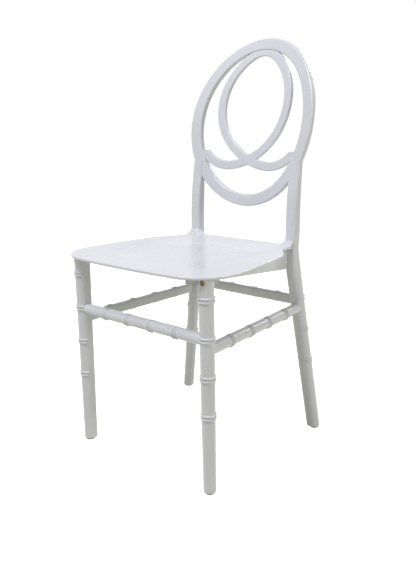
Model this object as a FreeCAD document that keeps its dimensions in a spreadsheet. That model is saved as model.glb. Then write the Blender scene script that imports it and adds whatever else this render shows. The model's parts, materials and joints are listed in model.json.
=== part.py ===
import FreeCAD, Part
import Sketcher
import math
import os
import re

# A banquet chair moulded in white plastic, made to be taken apart and shipped flat.
# The back is one moulding: a leaning oval hoop, two crossing loops inside it, two posts and
# the two splayed rear legs. The seat is a thin panel with rails underneath. Two loose front
# legs bolt to the seat, and four bamboo-ringed stretchers plug into the legs.
# Frame: +Z up, floor at Z = 0, the sitter faces -Y, and the sitter's left is +X.
# Y = 0 is half way between the seat's front edge and the rearmost point of the hoop.

SIZES = {
    # seat panel, seen from above; "in" is inwards from its half width, "back" from its front
    "seat_height": 438,
    "seat_half": 214,
    "seat_front": 257,
    "rim_thick": 5.5,
    "front_bulge": 4,
    "front_in": 84,
    "wide_back": 100,
    "side_in": 24,
    "side_ahead": 107.5,
    "hip_in": 46,
    "hip_ahead": 66.5,
    "tail_out": 10.3,
    "rear_lip": 9.5,
    "dish_radius": 175,
    "dish_floor": 60,
    "dish_depth": 3,
    "dish_y": -50,
    "rim_round": 2,
    "seat_margin": 20,
    "cove_radius": 24,
    "cove_sweep": 62,
    "cove_thick": 5,
    # rails and ribs under the seat
    "rail_width": 26,
    "rail_wall": 3.5,
    "rail_rear_in": 75.5,
    "rail_front_in": 56,
    "rail_front_back": 76,
    "rail_rear_drop": 55,
    "rail_front_drop": 20,
    "rear_rail_depth": 40,
    "rear_rail_front": 16,
    "rear_rail_back": 26,
    "rib_thick": 3,
    "rib_depth": 12,
    "rib_x": 62,
    "block_depth": 13.5,
    "block_thick": 13,
    "block_width": 22,
    "block_wall": 2,
    # front legs
    "front_foot_in": 37,
    "front_foot_back": 54.7,
    "front_top_in": 37.8,
    "front_top_back": 46.9,
    "front_foot_radius": 12.8,
    "front_top_radius": 15,
    "front_ring_drop": 276.6,
    "front_ring_pitch": 76.9,
    # rear legs, part of the back moulding; "behind" is behind the posts' fronts
    "rear_foot_in": 16,
    "rear_foot_behind": 36.2,
    "rear_top_in": 73,
    "rear_top_behind": 12,
    "rear_top_drop": 8,
    "rear_foot_radius": 13.4,
    "rear_top_radius": 15.5,
    "rear_ring_drop": 269.3,
    "rear_ring_pitch": 74.7,
    "leg_corner": 2.5,
    "leg_spare": 10,
    # bamboo rings
    "ring_width": 9,
    "ring_root": 1.5,
    "ring_proud": 1.9,
    "ring_groove": 0.5,
    "leg_ring_sweep": 224,
    "bar_ring_sweep": 236,
    # stretchers
    "bar_radius": 11,
    "bar_inner": 8,
    "bar_corner": 3,
    "front_bar_drop": 126.2,
    "side_bar_drop": 146.7,
    "rear_bar_drop": 128.9,
    "front_bar_pitch": 66.5,
    "side_bar_pitch": 71,
    "rear_bar_pitch": 67.5,
    "spigot_radius": 6,
    "spigot_length": 12,
    "socket_slack": 0.15,
    "socket_spare": 1,
    # posts of the back; "rise" is above the seat
    "post_in": 72.3,
    "post_front": 132.5,
    "post_width": 27.2,
    "post_depth": 28.2,
    "post_round": 7.5,
    "post_rise": 188,
    "post_overlap": 4,
    "post_back_lean": 4.5,
    "post_flush_rise": 107,
    "post_flush_in": 17,
    # curved sheet that the hoop and the loops are cut from
    "back_behind": 16.6,
    "bend_rise": 17,
    "lean_radius": 1205,
    "plan_radius": 942,
    "sheet_spare": 20,
    "sheet_sweep": 40,
    # hoop
    "hoop_rise": 278.8,
    "hoop_in": 40.3,
    "hoop_half_height": 200,
    "hoop_width": 28.3,
    "hoop_depth": 16,
    # crossing loops, arc by arc from the top, and the level top of the horn at the end
    "loop_drop": 32.6,
    "loop_width": 21,
    "loop_recess": 2.6,
    "loop_depth": 11,
    "arc_one_radius": 60.6,
    "arc_one_sweep": 33.3,
    "arc_two_radius": 134.9,
    "arc_two_sweep": 95.3,
    "arc_three_radius": 172.9,
    "arc_three_sweep": 43.4,
    "arc_four_radius": 90.2,
    "arc_four_sweep": 66,
    "horn_drop": 67.8,
    # feet
    "glide_radius": 10.5,
    "glide_thick": 2.5,
    "glide_chamfer": 1,
    "glide_stem_radius": 5,
    "glide_stem": 12,
    # bolts, inserts, washers and the cap
    "bolt_radius": 3,
    "bolt_head_radius": 5.2,
    "bolt_head": 3.3,
    "bolt_key": 1.8,
    "bolt_slack": 0.2,
    "front_bolt_drop": 6.2,
    "front_bolt_out": 2,
    "head_recess": 5.5,
    "rear_bolt_drop": 10.5,
    "rear_bolt_pitch": 16,
    "insert_radius": 4,
    "insert_length": 11,
    "washer_radius": 7,
    "washer_thick": 1.2,
    "cap_thick": 2,
    # gap between pieces that touch, and how far a tool reaches past what it joins or cuts
    "fit": 0.1,
    "bite": 1,
}

# Places that follow from the sizes, so that pieces which belong together move together
FOLLOWING = {
    "front_half": "seat_half - front_in",
    "seat_wide_y": "wide_back - seat_front",
    "side_x": "seat_half - side_in",
    "side_y": "post_front - side_ahead",
    "hip_x": "seat_half - hip_in",
    "hip_y": "post_front - hip_ahead",
    "post_x": "seat_half - post_in",
    "tail_half": "post_x + tail_out",
    "rail_rear_x": "seat_half - rail_rear_in",
    "rail_front_x": "seat_half - rail_front_in",
    "rail_front_y": "rail_front_back - seat_front",
    "front_foot_x": "seat_half - front_foot_in",
    "front_foot_y": "front_foot_back - seat_front",
    "front_top_x": "seat_half - front_top_in",
    "front_top_y": "front_top_back - seat_front",
    "front_ring_z": "seat_height - front_ring_drop",
    "rear_foot_x": "seat_half - rear_foot_in",
    "rear_foot_y": "post_front + rear_foot_behind",
    "rear_top_x": "seat_half - rear_top_in",
    "rear_top_y": "post_front + rear_top_behind",
    "rear_top_z": "seat_height - rear_top_drop",
    "rear_ring_z": "seat_height - rear_ring_drop",
    "front_bar_z": "seat_height - front_bar_drop",
    "side_bar_z": "seat_height - side_bar_drop",
    "rear_bar_z": "seat_height - rear_bar_drop",
    "post_top": "seat_height + post_rise",
    "post_low": "rear_top_z - post_overlap",
    "back_y": "post_front + back_behind",
    "bend_z": "seat_height + bend_rise",
    "hoop_z": "seat_height + hoop_rise",
    "hoop_half_width": "seat_half - hoop_in",
    "loop_top": "hoop_z + hoop_half_height - loop_drop",
    "horn_top": "hoop_z - horn_drop",
}

doc = FreeCAD.newDocument("chair")
sheet = doc.addObject("Spreadsheet::Sheet", "Sizes")
for row, (alias, value) in enumerate(SIZES.items(), start=1):
    sheet.set("A%d" % row, alias)
    sheet.set("B%d" % row, str(value))
    sheet.setAlias("B%d" % row, alias)
doc.recompute()

WORD = re.compile(r"[a-z_]+")
ORIGIN_POINT = (-1, 1)


def formula(text):
    """The text with each size name pointed at its cell of the sheet."""
    def pointed(found):
        word = found.group()
        if word in FOLLOWING:
            return "(%s)" % formula(FOLLOWING[word])
        return "Sizes." + word if word in SIZES else word

    return WORD.sub(pointed, text)


def number(text):
    """The present value of a formula."""
    value = sheet.evalExpression(formula(text))
    return float(getattr(value, "Value", value))


def bind(thing, prop, text):
    thing.setExpression(prop, formula(text))


def place(thing, x, y, z, turn=None):
    """Bind a Placement to formulas; turn is the text of a rotation."""
    turn = turn or "rotation(vector(0; 0; 1); 0)"
    bind(thing, "Placement", "placement(vector(%s; %s; %s); %s)" % (x, y, z, turn))


def about(axis, angle):
    """The text of a rotation about one of the frame's axes."""
    return "rotation(vector(%s); %s)" % ({"x": "1; 0; 0", "y": "0; 1; 0", "z": "0; 0; 1"}[axis], angle)


def new_body(name):
    return doc.addObject("PartDesign::Body", name)


def new_sketch(body, name, plane, lift=None):
    """A sketch on one of the body's own planes, lifted off it by a formula."""
    sketch = body.newObject("Sketcher::SketchObject", name)
    base = [item for item in body.Origin.OriginFeatures if item.Role == plane][0]
    sketch.AttachmentSupport = [(base, "")]
    sketch.MapMode = "FlatFace"
    if lift:
        bind(sketch, "AttachmentOffset.Base.z", lift)
    return sketch


def hold(sketch, kind, places, text):
    """A dimension of the sketch, bound to a formula."""
    value = number(text)
    if kind == "Angle":
        value = math.radians(value)
    index = sketch.addConstraint(Sketcher.Constraint(kind, *places, value))
    bind(sketch, "Constraints[%d]" % index, text)


def arc_between(start, end, radius, side):
    """The short arc from start to end; side 1 has its centre on the left, -1 on the right."""
    middle = (start + end) * 0.5
    chord = end - start
    left = FreeCAD.Vector(-chord.y, chord.x, 0).normalize()
    reach = math.sqrt(max(radius ** 2 - (chord.Length / 2) ** 2, 0.0))
    return centred_arc(start, end, middle + left * reach * side, radius, side)


def centred_arc(start, end, centre, radius, side):
    first, last = (start, end) if side > 0 else (end, start)
    angles = [math.atan2(point.y - centre.y, point.x - centre.x) for point in (first, last)]
    if angles[1] < angles[0]:
        angles[1] += 2 * math.pi
    return Part.ArcOfCircle(Part.Circle(centre, FreeCAD.Vector(0, 0, 1), radius), *angles)


def turn_of(heading, chord):
    """How far an arc turns that leaves along a heading and ends at the end of a chord."""
    aside = math.atan2(chord.y, chord.x) - heading
    return 2 * math.atan2(math.sin(aside), math.cos(aside))


def outline(sketch, steps):
    """Draw one closed outline through the steps.

    A step is (x, y) where a line leaves, (x, y, radius, side) where a short arc leaves, or
    (x, y, "smooth") where an arc leaves tangent to what came before. A y of None is found by
    tangency, between a smooth arc and an upright line.
    """
    edges = []
    heading = 0.0
    start = FreeCAD.Vector(number(steps[0][0]), number(steps[0][1]), 0)
    for index, step in enumerate(steps):
        after = steps[(index + 1) % len(steps)]
        if after[1] is None:
            x = number(after[0])
            end = FreeCAD.Vector(x, start.y + (x - start.x) * math.tan((heading + math.pi / 2) / 2), 0)
        else:
            end = FreeCAD.Vector(number(after[0]), number(after[1]), 0)
        chord = end - start
        if len(step) == 2:
            side, edge = 1, Part.LineSegment(start, end)
            heading = math.atan2(chord.y, chord.x)
        elif len(step) == 3:
            turn = turn_of(heading, chord)
            side = 1 if turn > 0 else -1
            edge = arc_between(start, end, chord.Length / 2 / abs(math.sin(turn / 2)), side)
            heading += turn
        else:
            radius, side = number(step[2]), step[3]
            edge = arc_between(start, end, radius, side)
            heading = math.atan2(chord.y, chord.x) + side * math.asin(chord.Length / 2 / radius)
        ends = (1, 2) if side > 0 else (2, 1)
        edges.append((sketch.addGeometry(edge), *ends))
        start = end
    for index, (edge, first, last) in enumerate(edges):
        step = steps[index]
        before = edges[index - 1]
        if len(step) == 3 or step[1] is None:
            sketch.addConstraint(Sketcher.Constraint("Tangent", before[0], before[2], edge, first))
        else:
            sketch.addConstraint(Sketcher.Constraint("Coincident", before[0], before[2], edge, first))
        hold(sketch, "DistanceX", (*ORIGIN_POINT, edge, first), step[0])
        if step[1] is not None:
            hold(sketch, "DistanceY", (*ORIGIN_POINT, edge, first), step[1])
        if len(step) > 3:
            hold(sketch, "Radius", (edge,), step[2])
    return sketch


def pad(body, name, sketch, length, both_ways=False, downward=False):
    feature = body.newObject("PartDesign::Pad", name)
    feature.Profile = sketch
    bind(feature, "Length", length)
    feature.Midplane = both_ways
    feature.Reversed = downward
    return feature


def revolve(body, name, sketch, axis, angle=None):
    """Turn a sketch about one of its own axes, all round or by an angle to both sides."""
    feature = body.newObject("PartDesign::Revolution", name)
    feature.Profile = sketch
    feature.ReferenceAxis = (sketch, [axis])
    if angle:
        bind(feature, "Angle", angle)
        feature.Midplane = True
    else:
        feature.Angle = 360
    return feature


def box(name, x, y, z):
    """A block from (low, high) formulas along each axis."""
    block = doc.addObject("Part::Box", name)
    for prop, (low, high) in zip(("Length", "Width", "Height"), (x, y, z)):
        bind(block, prop, "(%s) - (%s)" % (high, low))
    place(block, x[0], y[0], z[0])
    return block


def rod(name, radius, length, x, y, z, turn=None):
    """A cylinder that starts at a point and runs along +Z unless it is turned."""
    cylinder = doc.addObject("Part::Cylinder", name)
    bind(cylinder, "Radius", radius)
    bind(cylinder, "Height", length)
    place(cylinder, x, y, z, turn)
    return cylinder


def join(name, things):
    union = doc.addObject("Part::MultiFuse", name)
    union.Shapes = things
    union.Refine = True
    return union


def cut(name, base, tools):
    """The base without the tools, which are joined first if there are several."""
    result = doc.addObject("Part::Cut", name)
    result.Base = base
    result.Tool = tools[0] if len(tools) == 1 else join(name + "_tools", tools)
    return result


def overlap(name, things):
    result = doc.addObject("Part::MultiCommon", name)
    result.Shapes = things
    return result


def mirror(name, thing):
    """The same thing on the other side of the chair."""
    result = doc.addObject("Part::Mirroring", name)
    result.Source = thing
    result.Normal = FreeCAD.Vector(1, 0, 0)
    return result


def soften(name, thing, radius, wanted):
    """Round the edges that the test picks out."""
    doc.recompute()
    result = doc.addObject("Part::Fillet", name)
    result.Base = thing
    picked = [index for index, edge in enumerate(thing.Shape.Edges, start=1) if wanted(edge)]
    result.Edges = [(index, number(radius), number(radius)) for index in picked]
    return result


# Places that several pieces share

UNDERSIDE = "(seat_height - rim_thick)"
POST_INNER = "(post_x - post_width / 2)"
POST_MIDDLE = "(post_front + post_depth / 2)"


def leg_line(end):
    """Foot x, foot y, top x, top y and top z of the front or rear leg's axis."""
    top_z = UNDERSIDE if end == "front" else "rear_top_z"
    return ["%s_foot_x" % end, "%s_foot_y" % end, "%s_top_x" % end, "%s_top_y" % end, top_z]


def leg_at(end, z):
    """Axis x, axis y and radius of a leg at a height."""
    foot_x, foot_y, top_x, top_y, top_z = leg_line(end)
    share = "(%s) / (%s)" % (z, top_z)
    x = "(%s + (%s - %s) * %s)" % (foot_x, top_x, foot_x, share)
    y = "(%s + (%s - %s) * %s)" % (foot_y, top_y, foot_y, share)
    radius = "(%s_foot_radius + (%s_top_radius - %s_foot_radius) * %s)" % (end, end, end, share)
    return x, y, radius


# Legs: round outside, with a square inner corner that the stretchers and the seat meet

def corner_section(body, name, radius, lift):
    """The square inner corner alone, from the axis out to where the flats touch the cone."""
    sketch = new_sketch(body, name, "XY_Plane", lift)
    near = "(%s) / sqrt(2)" % radius
    step = "leg_corner / sqrt(2)"
    far = "%s - (%s) * sqrt(2)" % (step, radius)
    return outline(sketch, [
        ("0", "0"),
        ("-" + near, near),
        (far, step),
        (far, "-" + step),
        ("-" + near, "-" + near),
    ])


def ring_profile(sketch, radius, middle, along_x=False):
    """Two ridges with a groove between them, drawn at one side of the axis."""
    points = []
    for reach, shift in (("-ring_root", "-ring_width / 2"), ("ring_proud", "-ring_width / 4"),
                         ("ring_groove", "0"), ("ring_proud", "ring_width / 4"),
                         ("-ring_root", "ring_width / 2")):
        out = "(%s) + (%s)" % (radius, reach)
        along = "%s + %s" % (middle, shift)
        points.append((along, "-(%s)" % out) if along_x else (out, along))
    return outline(sketch, points)


def leg(name, end, turn, ring_z, ring_pitch, ring_count):
    """One leg about its own axis, then leaned into place with its corner facing inwards."""
    foot_x, foot_y, top_x, top_y, top_z = leg_line(end)
    run = "(%s - %s)" % (top_x, foot_x)
    rise = "(%s - %s)" % (top_y, foot_y)
    length = "sqrt(%s^2 + %s^2 + %s^2)" % (run, rise, top_z)
    body = new_body(name)
    below = "(-leg_spare)"
    half = new_sketch(body, name + "_half", "XZ_Plane")
    low_radius = leg_at(end, below)[2]
    outline(half, [
        ("0", below),
        (low_radius, below),
        (end + "_top_radius", length),
        (end + "_top_radius", length + " + leg_spare"),
        ("0", length + " + leg_spare"),
    ])
    revolve(body, name + "_cone", half, "V_Axis")
    low = corner_section(body, name + "_low", low_radius, below)
    high = corner_section(body, name + "_high", end + "_top_radius", length)
    doc.recompute()
    corner = body.newObject("PartDesign::AdditiveLoft", name + "_corner")
    corner.Profile = low
    corner.Sections = [high]
    corner.Ruled = True
    for count in range(ring_count):
        height = "(%s + %d * %s)" % (ring_z, count, ring_pitch)
        radius = leg_at(end, height)[2]
        sketch = new_sketch(body, "%s_ring_%d" % (name, count), "XZ_Plane")
        ring_profile(sketch, radius, height)
        revolve(body, "%s_ridge_%d" % (name, count), sketch, "V_Axis", "leg_ring_sweep")
    lean = "rotation(vector(-%s; %s; 0); atan(sqrt(%s^2 + %s^2) / %s))" % (rise, run, run, rise, top_z)
    place(body, foot_x, foot_y, "0", "%s * %s" % (lean, about("z", turn)))
    return body


# Stretchers: half round outside, flat inside, with four rings and a spigot at each end

def bar_shape(name, length, pitch):
    """A bar along X about the origin, its round side towards -Y."""
    body = new_body(name)
    section = new_sketch(body, name + "_section", "YZ_Plane")
    outline(section, [
        ("0", "bar_radius", "bar_radius", 1),
        ("-bar_radius", "0", "bar_radius", 1),
        ("0", "-bar_radius"),
        ("bar_inner - bar_corner", "-bar_radius", "bar_corner", 1),
        ("bar_inner", "bar_corner - bar_radius"),
        ("bar_inner", "bar_radius - bar_corner", "bar_corner", 1),
        ("bar_inner - bar_corner", "bar_radius"),
    ])
    pad(body, name + "_shaft", section, length, both_ways=True)
    sketch = new_sketch(body, name + "_ring", "XY_Plane")
    ring_profile(sketch, "bar_radius", "(-1.5 * %s)" % pitch, along_x=True)
    ring = revolve(body, name + "_ridge", sketch, "H_Axis", "bar_ring_sweep")
    doc.recompute()
    rings = body.newObject("PartDesign::LinearPattern", name + "_ridges")
    rings.Originals = [ring]
    rings.Direction = (sketch, ["H_Axis"])
    rings.Mode = "Extent"
    bind(rings, "Length", "3 * %s" % pitch)
    rings.Occurrences = 4
    body.Tip = rings
    return body


def across(name, end, z, pitch, turn, legs):
    """The front or rear stretcher with its spigots, and the rod that makes its sockets."""
    x, y, radius = leg_at(end, z)
    bar = bar_shape(name + "_bar", "2 * %s" % x, pitch)
    place(bar, "0", y, z, about("z", turn))
    trimmed = cut(name + "_trimmed", bar, legs)
    reach = "(%s - %s + spigot_length)" % (x, radius)
    pin = rod(name + "_spigots", "spigot_radius", "2 * " + reach, "-" + reach, y, z, about("y", "90"))
    deep = "(%s + socket_spare)" % reach
    hole = rod(name + "_sockets", "spigot_radius + socket_slack", "2 * " + deep, "-" + deep, y, z,
               about("y", "90"))
    return join(name, [trimmed, pin]), hole


def along(name, z, pitch, legs):
    """The left side stretcher, from the front leg's flat to the rear leg's flat."""
    front_x, front_y, front_radius = leg_at("front", z)
    rear_x, rear_y, rear_radius = leg_at("rear", z)
    run = "(%s - %s)" % (rear_y, front_y)
    drift = "(%s - %s)" % (rear_x, front_x)
    length = "sqrt(%s^2 + %s^2)" % (run, drift)
    swing = "(90 deg - atan(%s / %s))" % (drift, run)
    bar = bar_shape(name + "_bar", length, pitch)
    place(bar, "(%s + %s) / 2" % (front_x, rear_x), "(%s + %s) / 2" % (front_y, rear_y), z,
          about("z", swing))
    trimmed = cut(name + "_trimmed", bar, legs)
    rods = []
    for kind, size, spare in (("_spigots", "spigot_radius", "0"),
                              ("_sockets", "spigot_radius + socket_slack", "socket_spare")):
        depth = "(%s - spigot_length - %s)" % (front_radius, spare)
        rear_depth = "(%s - spigot_length - %s)" % (rear_radius, spare)
        rods.append(rod(name + kind, size, "%s - %s - %s" % (length, depth, rear_depth),
                        "%s + %s * %s / %s" % (front_x, drift, depth, length),
                        "%s + %s * %s / %s" % (front_y, run, depth, length), z,
                        "%s * %s" % (about("z", swing), about("y", "90"))))
    return join(name, [trimmed, rods[0]]), rods[1]


def make_lower_frame():
    """Front legs, blank rear legs and the four stretchers with their sockets."""
    front_left = leg("front_leg_blank", "front", "-45", "front_ring_z", "front_ring_pitch", 4)
    rear_left = leg("rear_leg_blank", "rear", "45", "rear_ring_z", "rear_ring_pitch", 3)
    front_pair = [front_left, mirror("front_leg_blank_right", front_left)]
    rear_pair = [rear_left, mirror("rear_leg_blank_right", rear_left)]
    front_bar, front_holes = across("front_stretcher", "front", "front_bar_z", "front_bar_pitch", "0",
                                    front_pair)
    rear_bar, rear_holes = across("rear_stretcher", "rear", "rear_bar_z", "rear_bar_pitch", "180",
                                  rear_pair)
    side_bar, side_holes = along("side_stretcher_left", "side_bar_z", "side_bar_pitch",
                                 [front_left, rear_left])
    side_right = mirror("side_stretcher_right", side_bar)
    return {"front_leg": front_left, "rear_leg": rear_left,
            "front_holes": front_holes, "rear_holes": rear_holes, "side_holes": side_holes,
            "nodes": [front_bar, rear_bar, side_bar, side_right]}


# Feet

def foot_hole(name, end):
    """The bore for a glide's stem, straight up into the leg's end."""
    return rod(name, "glide_stem_radius + bolt_slack", "glide_stem + socket_spare",
               end + "_foot_x", end + "_foot_y", "glide_thick")


def make_glide(name, end, side):
    """A plastic disc with a chamfered rim and a stem."""
    body = new_body(name)
    sketch = new_sketch(body, name + "_half", "XZ_Plane")
    outline(sketch, [
        ("0", "0"),
        ("glide_radius - glide_chamfer", "0"),
        ("glide_radius", "glide_chamfer"),
        ("glide_radius", "glide_thick"),
        ("glide_stem_radius", "glide_thick"),
        ("glide_stem_radius", "glide_thick + glide_stem - glide_chamfer"),
        ("glide_stem_radius - glide_chamfer", "glide_thick + glide_stem"),
        ("0", "glide_thick + glide_stem"),
    ])
    revolve(body, name + "_turned", sketch, "V_Axis")
    place(body, "%s * %s_foot_x" % (side, end), end + "_foot_y", "0")
    return body


# Bolts, inserts, washers and the cap

FRONT_BOLT_Z = "(%s - front_bolt_drop)" % UNDERSIDE
FRONT_BOLT_X = "(front_top_x + front_bolt_out)"
FRONT_FLAT = "(%s + %s)" % leg_at("front", FRONT_BOLT_Z)[1:]
FRONT_SEAT = "(front_top_y - front_top_radius + head_recess)"
REAR_WALL = "(%s - fit - rail_wall)" % POST_INNER


def bolt(name, length):
    """A tapered head with a six-sided key hole, at Z above 0, and a shank below it."""
    body = new_body(name)
    half = new_sketch(body, name + "_half", "XZ_Plane")
    outline(half, [
        ("0", "-(%s)" % length),
        ("bolt_radius * 0.8", "-(%s)" % length),
        ("bolt_radius", "bolt_radius * 0.2 - (%s)" % length),
        ("bolt_radius", "0"),
        ("bolt_head_radius", "0"),
        ("bolt_head_radius", "bolt_head * 0.5"),
        ("bolt_head_radius * 0.6", "bolt_head"),
        ("0", "bolt_head"),
    ])
    turned = revolve(body, name + "_turned", half, "V_Axis")
    key = new_sketch(body, name + "_key", "XY_Plane", "bolt_head")
    corners = []
    for count in range(6):
        corners.append(("bolt_key * cos(%d)" % (60 * count), "bolt_key * sin(%d)" % (60 * count)))
    outline(key, corners)
    doc.recompute()
    recess = body.newObject("PartDesign::Pocket", name + "_recess")
    recess.Profile = key
    bind(recess, "Length", "bolt_head * 0.6")
    doc.recompute()
    if recess.Shape.Volume >= turned.Shape.Volume:
        raise RuntimeError("the key hole of %s cuts nothing" % name)
    return body


def tube(name, outer, inner, length, x, y, z, turn=None):
    wall = rod(name + "_outer", outer, length, "0", "0", "0")
    bore = rod(name + "_bore", inner, "%s + 2 * bite" % length, "0", "0", "-bite")
    result = cut(name, wall, [bore])
    place(result, x, y, z, turn)
    return result


def make_front_fixings():
    """A bolt from the front through each front leg into a brass insert in the seat's block."""
    nodes = []
    length = "(%s - %s + insert_length)" % (FRONT_FLAT, FRONT_SEAT)
    for side, word in (("1", "left"), ("-1", "right")):
        x = "%s * %s" % (side, FRONT_BOLT_X)
        screw = bolt("front_bolt_" + word, length)
        place(screw, x, FRONT_SEAT, FRONT_BOLT_Z, about("x", "90"))
        sleeve = tube("front_insert_" + word, "insert_radius - fit / 2", "bolt_radius + fit / 2",
                      "insert_length", x, FRONT_FLAT + " + fit", FRONT_BOLT_Z, about("x", "-90"))
        nodes += [screw, sleeve]
    cap = rod("bolt_cap", "bolt_head_radius + bolt_slack", "cap_thick", "-" + FRONT_BOLT_X,
              "%s - bolt_head - fit" % FRONT_SEAT, FRONT_BOLT_Z, about("x", "90"))
    return nodes + [cap]


def front_bolt_hole(name):
    """Shank hole and head recess of the left front leg."""
    shank = rod(name + "_shank", "bolt_radius + bolt_slack", "2 * (front_top_radius + head_recess)",
                FRONT_BOLT_X, "front_top_y - front_top_radius - head_recess", FRONT_BOLT_Z,
                about("x", "-90"))
    head = rod(name + "_head", "bolt_head_radius + 2 * bolt_slack", "2 * head_recess",
               FRONT_BOLT_X, FRONT_SEAT, FRONT_BOLT_Z, about("x", "90"))
    return [shank, head]


def rear_bolt_z(count):
    return "(%s - rear_bolt_drop - %d * rear_bolt_pitch)" % (UNDERSIDE, count)


def group(name, things):
    result = doc.addObject("Part::Compound", name)
    result.Links = things
    return result


def make_rear_fixings():
    """Two bolts a side, from inside the rear rail outwards into inserts in the posts."""
    nodes = []
    length = "(washer_thick + rail_wall + fit + insert_length)"
    for side, word, away in (("1", "left", "-90"), ("-1", "right", "90")):
        bolts, washers, inserts = [], [], []
        for count in range(2):
            z = rear_bolt_z(count)
            tag = "%s_%d" % (word, count)
            screw = bolt("rear_bolt_" + tag, length)
            place(screw, "%s * (%s - washer_thick)" % (side, REAR_WALL), POST_MIDDLE, z, about("y", away))
            bolts.append(screw)
            washers.append(tube("rear_washer_" + tag, "washer_radius", "bolt_radius + bolt_slack",
                                "washer_thick", "%s * %s" % (side, REAR_WALL), POST_MIDDLE, z,
                                about("y", away)))
            inserts.append(tube("rear_insert_" + tag, "insert_radius - fit / 2", "bolt_radius + fit / 2",
                                "insert_length", "%s * (%s + insert_length)" % (side, POST_INNER),
                                POST_MIDDLE, z, about("y", away)))
        nodes += [group("rear_bolts_" + word, bolts), group("rear_washers_" + word, washers),
                  group("rear_inserts_" + word, inserts)]
    return nodes


# Seat

def seat_outline(sketch):
    """The left half of the panel from above: rounded front, waisted side, a tail at the post."""
    rear = "(post_front + rear_lip)"
    front_radius = "(front_half^2 + front_bulge^2) / (2 * front_bulge)"
    inner = "(%s - fit)" % POST_INNER
    stop = "(post_front - fit)"
    return outline(sketch, [
        ("0", "-seat_front", front_radius, 1),
        ("front_half", "front_bulge - seat_front", "smooth"),
        ("seat_half", "seat_wide_y", "smooth"),
        ("side_x", "side_y", "smooth"),
        ("hip_x", "hip_y", "smooth"),
        ("tail_half", None),
        ("tail_half", stop),
        ("%s + post_round" % inner, stop, "post_round", -1),
        (inner, "%s + post_round" % stop),
        (inner, rear),
        ("0", rear),
    ])


def seat_panel():
    """The thin panel: its outline cut from a dished sheet, with a rounded rim."""
    plan = new_body("seat_plan")
    sketch = seat_outline(new_sketch(plan, "seat_plan_half", "XY_Plane"))
    half = pad(plan, "seat_plan_pad", sketch, "4 * seat_margin")
    doc.recompute()
    both = plan.newObject("PartDesign::Mirrored", "seat_plan_both")
    both.Originals = [half]
    both.MirrorPlane = (sketch, ["V_Axis"])
    plan.Tip = both
    place(plan, "0", "0", "seat_height - 2 * seat_margin")
    dish = new_body("seat_dish")
    half = new_sketch(dish, "seat_dish_half", "XZ_Plane")
    slope = "(dish_radius - dish_floor)"
    bend = "(%s^2 + dish_depth^2) / (2 * dish_depth)" % slope
    edge = "(2 * seat_front)"
    outline(half, [
        ("0", "-dish_depth"),
        ("dish_floor", "-dish_depth", bend, 1),
        ("dish_radius", "0"),
        (edge, "0"),
        (edge, "-rim_thick"),
        ("0", "-rim_thick"),
    ])
    revolve(dish, "seat_dish_turned", half, "V_Axis")
    place(dish, "0", "dish_y", "seat_height")
    sheet_cut = overlap("seat_sheet", [plan, dish])
    stop = number("post_front - 2 * fit")
    reach = number("dish_radius") + 1
    middle = FreeCAD.Vector(0, number("dish_y"), 0)

    def inside(edge):
        point = edge.valueAt(edge.FirstParameter)
        return math.hypot(point.x - middle.x, point.y - middle.y) < reach

    def on_rim(edge):
        """Level edges of the outline in front of the posts."""
        bounds = edge.BoundBox
        return bounds.ZLength < 0.01 and bounds.YMin < stop and not inside(edge)

    return soften("seat_rounded", sheet_cut, "rim_round", on_rim)


def cove_profile(body, name, plane, start, way):
    """Side view of the sweep that rises from the seat's top to a line start at the post."""
    sketch = new_sketch(body, name, plane)
    reach = "%s + %s * cove_radius * sin(cove_sweep)" % (start, way)
    rise = "(seat_height + cove_radius * (1 - cos(cove_sweep)))"
    side = 1 if way == "-1" else -1
    return outline(sketch, [
        (reach, "seat_height", "cove_radius", side),
        (start, rise),
        (start, "%s - cove_thick" % rise, "cove_radius + cove_thick", -side),
        (reach, "seat_height - cove_thick"),
    ])


def coves():
    """The seat's tail, which sweeps up against the front, corner and inner side of the left post."""
    ahead = new_body("cove_ahead")
    sketch = cove_profile(ahead, "cove_ahead_side", "YZ_Plane", "(post_front - fit)", "-1")
    middle_x = "(%s - fit + post_round)" % POST_INNER
    middle_y = "(post_front - fit + post_round)"
    pad(ahead, "cove_ahead_pad", sketch, "tail_half - " + middle_x)
    place(ahead, middle_x, "0", "0")
    corner = new_body("cove_corner")
    sketch = cove_profile(corner, "cove_corner_side", "XZ_Plane", "post_round", "1")
    revolve(corner, "cove_corner_turned", sketch, "V_Axis", "90")
    place(corner, middle_x, middle_y, "0", about("z", "225"))
    inner = new_body("cove_inner")
    sketch = cove_profile(inner, "cove_inner_side", "XZ_Plane", "(%s - fit)" % POST_INNER, "-1")
    pad(inner, "cove_inner_pad", sketch, "post_front + rear_lip - " + middle_y, downward=True)
    place(inner, "0", middle_y, "0")
    return [ahead, corner, inner]


def side_rail(name):
    """A hollow rail under the seat's left edge, deep at the post and shallow at the front."""
    body = new_body(name)
    rear = "(post_front - fit)"
    rings = new_sketch(body, name + "_walls", "XY_Plane", UNDERSIDE + " + bite")
    inner = "rail_width - rail_wall"
    outline(rings, [
        ("rail_rear_x", rear),
        ("rail_rear_x - rail_width", rear),
        ("rail_front_x - rail_width", "rail_front_y"),
        ("rail_front_x", "rail_front_y"),
    ])
    outline(rings, [
        ("rail_rear_x - rail_wall", rear + " - rail_wall"),
        ("rail_rear_x - (%s)" % inner, rear + " - rail_wall"),
        ("rail_front_x - (%s)" % inner, "rail_front_y + rail_wall"),
        ("rail_front_x - rail_wall", "rail_front_y + rail_wall"),
    ])
    pad(body, name + "_pad", rings, "rail_rear_drop + bite", downward=True)
    return body


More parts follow.
